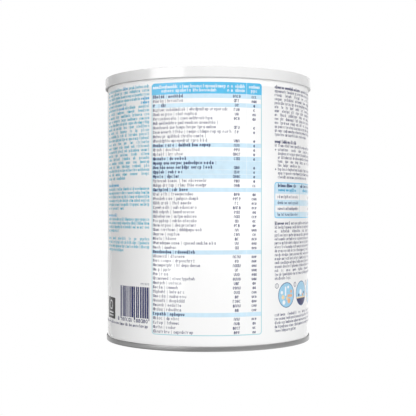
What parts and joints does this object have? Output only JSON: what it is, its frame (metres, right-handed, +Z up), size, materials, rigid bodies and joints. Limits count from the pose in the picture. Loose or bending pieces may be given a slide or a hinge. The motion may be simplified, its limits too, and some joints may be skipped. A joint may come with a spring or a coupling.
{
  "type": "milk powder tin",
  "caption": "Shut round metal tin of milk powder: straight printed wall, press-on plastic lid and a rolled seam below. Stands on its base and is held round the wall.",
  "frame": {"origin": "centre of the base, on the surface the tin stands on", "axes": "+Z up along the tin's axis; the side with the large table faces -Y"},
  "size_m": [0.13, 0.13, 0.163],
  "materials": {
    "lid_plastic": "smooth glossy white moulded plastic",
    "printed_tinplate": "white lacquered tinplate with blue, turquoise and navy print under a satin varnish",
    "bare_tinplate": "bare tinplate, satin, with fine lines round the axis"
  },
  "bodies": {
    "root": {"lid": "lid_plastic", "can_body": "printed_tinplate", "bottom_end": "bare_tinplate"}
  },
  "joints": []
}
